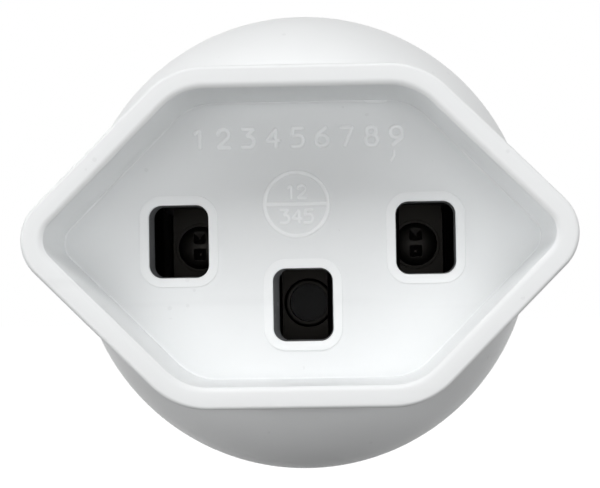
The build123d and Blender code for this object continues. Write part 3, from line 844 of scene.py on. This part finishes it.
def ridge(name, points, normals, width, height, ends_meet):
    """A soft ridge on the socket floor along a path.

    Its section is a flattened half round, width / 2 * cos(a) across and height * sin(a) ** 0.6 up,
    on a foot sunk in the floor. At an open end the section shrinks as sqrt(1 - t * t), so that the
    end is round.
    """
    section = np.linspace(0, pi, 9)
    across = np.concatenate([[width / 2], width / 2 * np.cos(section), [-width / 2]])
    rise = np.concatenate([[-height], height * np.sin(section).clip(0) ** 0.6, [-height]])
    rise = rise[:, None]
    size = np.ones(len(points))
    if not ends_meet:
        steps = np.linspace(0, 1, CAP_STEPS + 1)[1:]
        cap = steps[:, None] * width / 2
        ahead = points[-1] - points[-2]
        behind = points[0] - points[1]
        ahead = points[-1] + cap * ahead / np.hypot(*ahead)
        behind = points[0] + cap[::-1] * behind / np.hypot(*behind)
        points = np.concatenate([behind, points, ahead])
        normals = np.pad(normals, ((CAP_STEPS, CAP_STEPS), (0, 0)), "edge")
        taper = np.sqrt(1 - steps**2)
        size = np.concatenate([taper[::-1], size, taper])
    flat = points[None] + across[:, None, None] * (size[:, None] * normals)[None]
    up = FLOOR + np.where(rise > 0, rise * size, rise)
    return tube(name, flat, up, ends_meet)


def flash_patch(centre):
    """A thin oval of flash: half axes times s * (cos, sin), its height falling as 1 - s ** 4."""
    marks = settings("adapter_marks")
    ledge = settings("adapter_housing").ledge_height
    out = np.array([1, 1, 0.96, 0.85, 0.6, 0.3, 0.02])
    rise = ledge + FLASH_RISE * ledge * (1 - out**4)
    rise[0] = 0
    axes = np.array([marks.flash_length / 2, marks.flash_width / 2])
    across = centre + axes * out[:, None] * circle(40)[:, None]
    return tube("flash_patch", across, FLOOR + rise)


def join_pieces(name, pieces):
    """One piece from several."""
    work = bmesh.new()
    for piece in pieces:
        work.from_mesh(piece.data)
        bpy.data.objects.remove(piece)
    mesh = bpy.data.meshes.new(name)
    work.to_mesh(mesh)
    work.free()
    return add_object(name, mesh)


def round_holes(name, profile, leans=(0.0, 0.0, 0.0)):
    """One piece from a closed profile carried round every hole."""
    made = []
    for centre, lean in zip(HOLE_PLACES, leans):
        outline, normals = hole_outline(centre, 0)
        made.append(carried("edge", outline, normals, profile, True, lean))
    return join_pieces(name, made)


def write_digits(digits, start, end, rise, tall, line):
    """Ridges for evenly spaced digits between two ends. A line is its width and height."""
    scale = tall / GLYPH_TALL
    step = (end - start - GLYPH_WIDE * scale) / max(1, len(digits) - 1)
    made = []
    for place, digit in enumerate(digits):
        corner = np.array([start + place * step, rise - tall / 2])
        for stroke in GLYPHS[digit]:
            stroke = np.array(stroke)
            closed = stroke[0, 2] > 0
            corners, radii = stroke[:, :2] * scale + corner, stroke[:, 2] * scale
            points, normals = rounded_path(corners, radii, closed, 0.15 * MM, radians(15))
            made.append(ridge("stroke", points, normals, *line, closed))
    return made


class ADAPTER_OT_marks(bpy.types.Operator):
    """Makes the hole edges and liners, the generic numbers, the nick, the ring and the flash"""

    bl_idname = "adapter.marks"
    bl_label = "Floor marks"

    def execute(self, context):
        sizes = settings("adapter_marks")
        housing = settings("adapter_housing")
        floor_back = FLOOR - housing.floor_thickness
        foot = FLOOR - sizes.lip_depth
        top = FLOOR + sizes.frame_height
        soft = FRAME_SOFTNESS * sizes.frame_height
        profile, _ = rounded_path(
            [(0, foot), (0, top), (-sizes.frame_width, top), (-sizes.frame_width, foot)],
            [0, 2 * soft, soft, 0],
            pitch=MM / 3,
            turn=radians(22),
        )
        frames = round_holes("raised_hole_edges", profile)
        # The raised hole edges take the collar's white, lighter than the floor round them: a
        # painted highlight.
        finish_piece(frames, finish("white_plastic"))
        mouth = foot - LINER_GAP
        outside = -LINER_FIT * sizes.liner
        profile, _ = rounded_path(
            [(sizes.liner_taper, floor_back), (0, mouth), (outside, mouth), (outside, floor_back)],
            [0, LINER_ROUND, 0, 0],
            pitch=0.5 * MM,
            turn=radians(30),
        )
        # Dark grey liners in the holes: partly dark plastic, partly painted shade on the hole
        # walls.
        liners = round_holes("hole_liners", profile, HOLE_LEANS)
        finish_piece(liners, finish("liner_plastic"))
        line = (sizes.stroke_width, sizes.stroke_height)
        thin = (THIN * sizes.stroke_width, sizes.stroke_height)
        row = write_digits(
            ROW_DIGITS, sizes.row_start, sizes.row_end, sizes.row_rise, sizes.digit_height, line
        )
        nick, normals = rounded_path(NICK, [0, NICK_ROUND, 0], closed=False)
        row.append(ridge("nick", nick, normals, *thin, False))
        numbers = join_pieces("moulded_numbers", row)
        # The numbers, ring and flash take the lightened white: a painted highlight.
        finish_piece(numbers, finish("mark_plastic"), sharp=60)
        out = circle(72)
        middle = np.array([sizes.ring_x, sizes.ring_z])
        radius = sizes.ring_radius - sizes.stroke_width / 2
        parts = [ridge("ring", middle + radius * out, out, *line, True)]
        bar = [middle - (radius, 0), middle + (radius, 0)]
        points, normals = rounded_path(bar, [0, 0], closed=False)
        parts.append(ridge("bar", points, normals, *line, False))
        for digits, half, rise in RING_DIGITS:
            start, end = middle[0] - half, middle[0] + half
            parts += write_digits(digits, start, end, middle[1] + rise, sizes.small_height, thin)
        ring = join_pieces("ring_with_bar", parts)
        finish_piece(ring, finish("mark_plastic"), sharp=60)
        inset = housing.wall + housing.inner_draft + FLASH_DROP
        flash = flash_patch((sizes.flash_x, housing.half_height - inset))
        finish_piece(flash, finish("mark_plastic"), sharp=80)
        return {"FINISHED"}


class ADAPTER_OT_base(bpy.types.Operator):
    """Dresses the black plug base, the contact chambers and the sleeve holder"""

    bl_idname = "adapter.base"
    bl_label = "Plug base"

    def execute(self, context):
        edge = settings("adapter_plug").edge_round
        chambers = ("line_chamber", "neutral_chamber", "earth_chamber", "sleeve_holder")
        dress(("plug_base",), "moulding", edge, "black_plastic")
        dress(chambers, "moulding", edge, "carrier_plastic")
        return {"FINISHED"}


PUNCH_WIDTH = 1.0 * MM
PUNCH_CORNER = 0.12 * MM
PUNCH_RISES = (0.85 * MM, -0.6 * MM)
# The punch is straight down to the first depth, and at the second this share as wide.
PUNCH_STRAIGHT = 0.3 * MM
PUNCH_DEPTH = 0.9 * MM
PUNCH_TIP = 0.15


def punch_tip(centre, top):
    """A square punch: its rounded outline, drawn in towards its middle below the head's top."""
    outline, _ = rounded_path(PUNCH_WIDTH * SQUARE, [PUNCH_CORNER] * 4)
    scale = np.array([1.0, 1.0, PUNCH_TIP])
    height = np.array([top + MM, top - PUNCH_STRAIGHT, top - PUNCH_DEPTH])
    return tube("punch", centre + outline[:, None] * scale[:, None], height)


class ADAPTER_OT_pins(bpy.types.Operator):
    """Makes the turned pins, with two punch marks in each riveted inner end"""

    bl_idname = "adapter.pins"
    bl_label = "Pins"

    def execute(self, context):
        for node in ("line_pin", "neutral_pin"):
            piece = refined_copy(node, f"{node}_turned", settings("adapter_plug").pin_round)
            low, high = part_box(node)
            x, z = (low.x + high.x) / 2, (low.z + high.z) / 2
            for rise in PUNCH_RISES:
                carve(piece, punch_tip((x, z + rise), -low.y), "DIFFERENCE")
            finish_piece(piece, finish("pin_nickel"))
        return {"FINISHED"}


class ADAPTER_OT_contacts(bpy.types.Operator):
    """Dresses the leaf contacts, their steel bands, the washers and the hollow rivet"""

    bl_idname = "adapter.contacts"
    bl_label = "Contacts"

    def execute(self, context):
        edge = settings("adapter_plug").strip_round
        poles = ("line", "neutral", "earth")
        contacts = [f"{pole}_contact" for pole in poles]
        springs = [f"{pole}_spring" for pole in poles]
        rings = ("line_washer", "neutral_washer", "earth_rivet")
        # Strips, washers and rivet take the near-black bronze, painted shade.
        dress(contacts, "strip", edge, "bronze")
        dress(springs, "band", edge, "blackened_steel")
        dress(rings, "ring", edge / 2, "bronze")
        return {"FINISHED"}


class ADAPTER_OT_earth(bpy.types.Operator):
    """Dresses the earth strap and the earth sleeve"""

    bl_idname = "adapter.earth"
    bl_label = "Earth parts"

    def execute(self, context):
        edge = settings("adapter_plug").strip_round
        dress(("earth_strap", "earth_sleeve"), "plated", edge, "nickel")
        return {"FINISHED"}


class ADAPTER_OT_screws(bpy.types.Operator):
    """Dresses the housing screws"""

    bl_idname = "adapter.screws"
    bl_label = "Screws"

    def execute(self, context):
        edge = settings("adapter_plug").screw_round
        dress(("upper_screw", "lower_screw"), "turned", edge, "steel")
        return {"FINISHED"}


# Studio


PURE_WHITE = (1.0, 1.0, 1.0)
FLOOR_WHITE = (0.8, 0.8, 0.8)
FLOOR_DIM = (0.1, 0.1, 0.1)


def seen_directly(tree):
    """1 for rays of the camera, gloss and glass, and 0 for diffuse light."""
    path = tree.nodes.new("ShaderNodeLightPath").outputs
    seen = math_node(tree, "MAXIMUM", path["Is Camera Ray"], path["Is Glossy Ray"])
    return math_node(tree, "MAXIMUM", seen, path["Is Transmission Ray"])


def pale_material(stage):
    """The floor: white to the camera, gloss and glass, and a dim grey to diffuse light."""
    material, tree, shader = new_material("pale_floor")
    tree.nodes.remove(shader)
    reach = tree.nodes.new("ShaderNodeVectorMath")
    reach.operation = "LENGTH"
    feed(tree, object_place(tree), reach.inputs[0])
    levels = (stage.glow_least, stage.glow_most, stage.glow_start, stage.glow_end)
    level = stretch(tree, reach.outputs["Value"], *levels)
    white = add_node(tree, "ShaderNodeBsdfDiffuse", Color=FLOOR_WHITE)
    dim = add_node(tree, "ShaderNodeBsdfDiffuse", Color=FLOOR_DIM)
    glow = add_node(tree, "ShaderNodeEmission", Color=PURE_WHITE, Strength=level)
    both = tree.nodes.new("ShaderNodeAddShader")
    feed(tree, white.outputs[0], both.inputs[0])
    feed(tree, glow.outputs[0], both.inputs[1])
    choice = tree.nodes.new("ShaderNodeMixShader")
    feed(tree, seen_directly(tree), choice.inputs["Fac"])
    feed(tree, dim.outputs[0], choice.inputs[1])
    feed(tree, both.outputs[0], choice.inputs[2])
    feed(tree, choice.outputs[0], tree.nodes["Material Output"].inputs["Surface"])
    return material


def white_world(strength):
    """Even light from all round, and pure white where the camera, gloss or glass sees it."""
    world = bpy.data.worlds.new("studio")
    world.use_nodes = True
    tree = world.node_tree
    background = tree.nodes["Background"].inputs
    feed(tree, PURE_WHITE, background["Color"])
    feed(tree, stretch(tree, seen_directly(tree), strength, 1.0), background["Strength"])
    return world


def lamp_place(azimuth, elevation):
    """A lamp's place, in degrees to the right of the socket's axis and above it."""
    turn, rise = radians(azimuth), radians(elevation)
    across = LAMP_DISTANCE * cos(rise)
    return (across * sin(turn), LAMP_TARGET - across * cos(turn), LAMP_DISTANCE * sin(rise))


def softbox(name, place, size, watts):
    """A rectangular lamp at a place, turned to the object."""
    lamp = bpy.data.lights.new(name, "AREA")
    lamp.shape = "RECTANGLE"
    lamp.size, lamp.size_y = size
    lamp.energy = watts
    aim = Vector((0, LAMP_TARGET, 0)) - Vector(place)
    turn = aim.to_track_quat("-Z", "Y").to_matrix().to_4x4()
    add_object(name, lamp).matrix_world = Matrix.Translation(place) @ turn


def camera_matrix(stage):
    """Place and turn of the camera.

    It looks along +Y. Yaw turns it about the upright, then pitch about its own right, then roll
    about the line of sight.
    """
    c, s = cos(stage.yaw), sin(stage.yaw)
    turn = np.array([(c, 0, -s), (0, 1, 0), (s, 0, c)])
    c, s = cos(stage.pitch), sin(stage.pitch)
    turn = np.array([(1, 0, 0), (0, c, -s), (0, s, c)]) @ turn
    c, s = cos(stage.roll), sin(stage.roll)
    turn = np.array([(c, -s, 0), (s, c, 0), (0, 0, 1)]) @ turn
    # The rows are right, up and ahead, each as x, z, y.
    axes = turn[:, [0, 2, 1]] * [[1], [1], [-1]]
    place = Matrix.Translation((stage.camera_x, stage.camera_y, stage.camera_z))
    return place @ Matrix(axes.T.tolist()).to_4x4()


class ADAPTER_OT_stage(bpy.types.Operator):
    """Makes the floor, the light and the camera"""

    bl_idname = "adapter.stage"
    bl_label = "Stage"

    def execute(self, context):
        stage = settings("adapter_stage")
        scene = context.scene
        mesh = bpy.data.meshes.new("floor")
        corners = [
            (FLOOR_SPREAD * x, FLOOR_SPREAD * y, -stage.floor_drop)
            for x, y in ((-1, -1), (1, -1), (1, 1), (-1, 1))
        ]
        mesh.from_pydata(corners, [], [(0, 1, 2, 3)])
        mesh.materials.append(pale_material(stage))
        add_object("floor", mesh)
        scene.world = white_world(stage.sky)
        for name, (azimuth, elevation, size) in SOFTBOXES.items():
            watts = getattr(stage, f"{name}_power")
            softbox(f"{name}_softbox", lamp_place(azimuth, elevation), size, watts)
        lens = bpy.data.cameras.new("camera")
        lens.sensor_width = SENSOR_WIDTH
        lens.lens = stage.focal_pixels * SENSOR_WIDTH / PHOTO_WIDTH
        lens.clip_start = MM
        camera = add_object("camera", lens)
        camera.matrix_world = camera_matrix(stage)
        scene.camera = camera
        scene.view_settings.view_transform = "Standard"
        return {"FINISHED"}


class ADAPTER_PT_panel(bpy.types.Panel):
    """Lists the adapter's operators"""

    bl_idname = "ADAPTER_PT_panel"
    bl_label = "Plug Adapter"
    bl_space_type = "VIEW_3D"
    bl_region_type = "UI"
    bl_category = "Adapter"

    def draw(self, context):
        for operator in OPERATORS:
            self.layout.operator(operator.bl_idname)


OPERATORS = (
    ADAPTER_OT_housing,
    ADAPTER_OT_marks,
    ADAPTER_OT_base,
    ADAPTER_OT_pins,
    ADAPTER_OT_contacts,
    ADAPTER_OT_earth,
    ADAPTER_OT_screws,
    ADAPTER_OT_stage,
)
GROUPS = {
    "adapter_housing": HousingSizes,
    "adapter_marks": MarkSizes,
    "adapter_plug": PlugSizes,
    "adapter_stage": StageSettings,
    "adapter_colours": FinishColours,
}


def register():
    """Adds the properties, the operators and the panel."""
    for name, group in GROUPS.items():
        bpy.utils.register_class(group)
        setattr(bpy.types.Scene, name, bpy.props.PointerProperty(type=group))
    for entry in (*OPERATORS, ADAPTER_PT_panel):
        bpy.utils.register_class(entry)


def unregister():
    """Takes them away again."""
    for entry in (ADAPTER_PT_panel, *reversed(OPERATORS)):
        bpy.utils.unregister_class(entry)
    for name, group in GROUPS.items():
        delattr(bpy.types.Scene, name)
        bpy.utils.unregister_class(group)


def main():
    """Builds the pieces and the stage."""
    register()
    bpy.ops.adapter.housing()
    bpy.ops.adapter.marks()
    bpy.ops.adapter.base()
    bpy.ops.adapter.pins()
    bpy.ops.adapter.contacts()
    bpy.ops.adapter.earth()
    bpy.ops.adapter.screws()
    bpy.ops.adapter.stage()


if __name__ == "__main__":
    main()
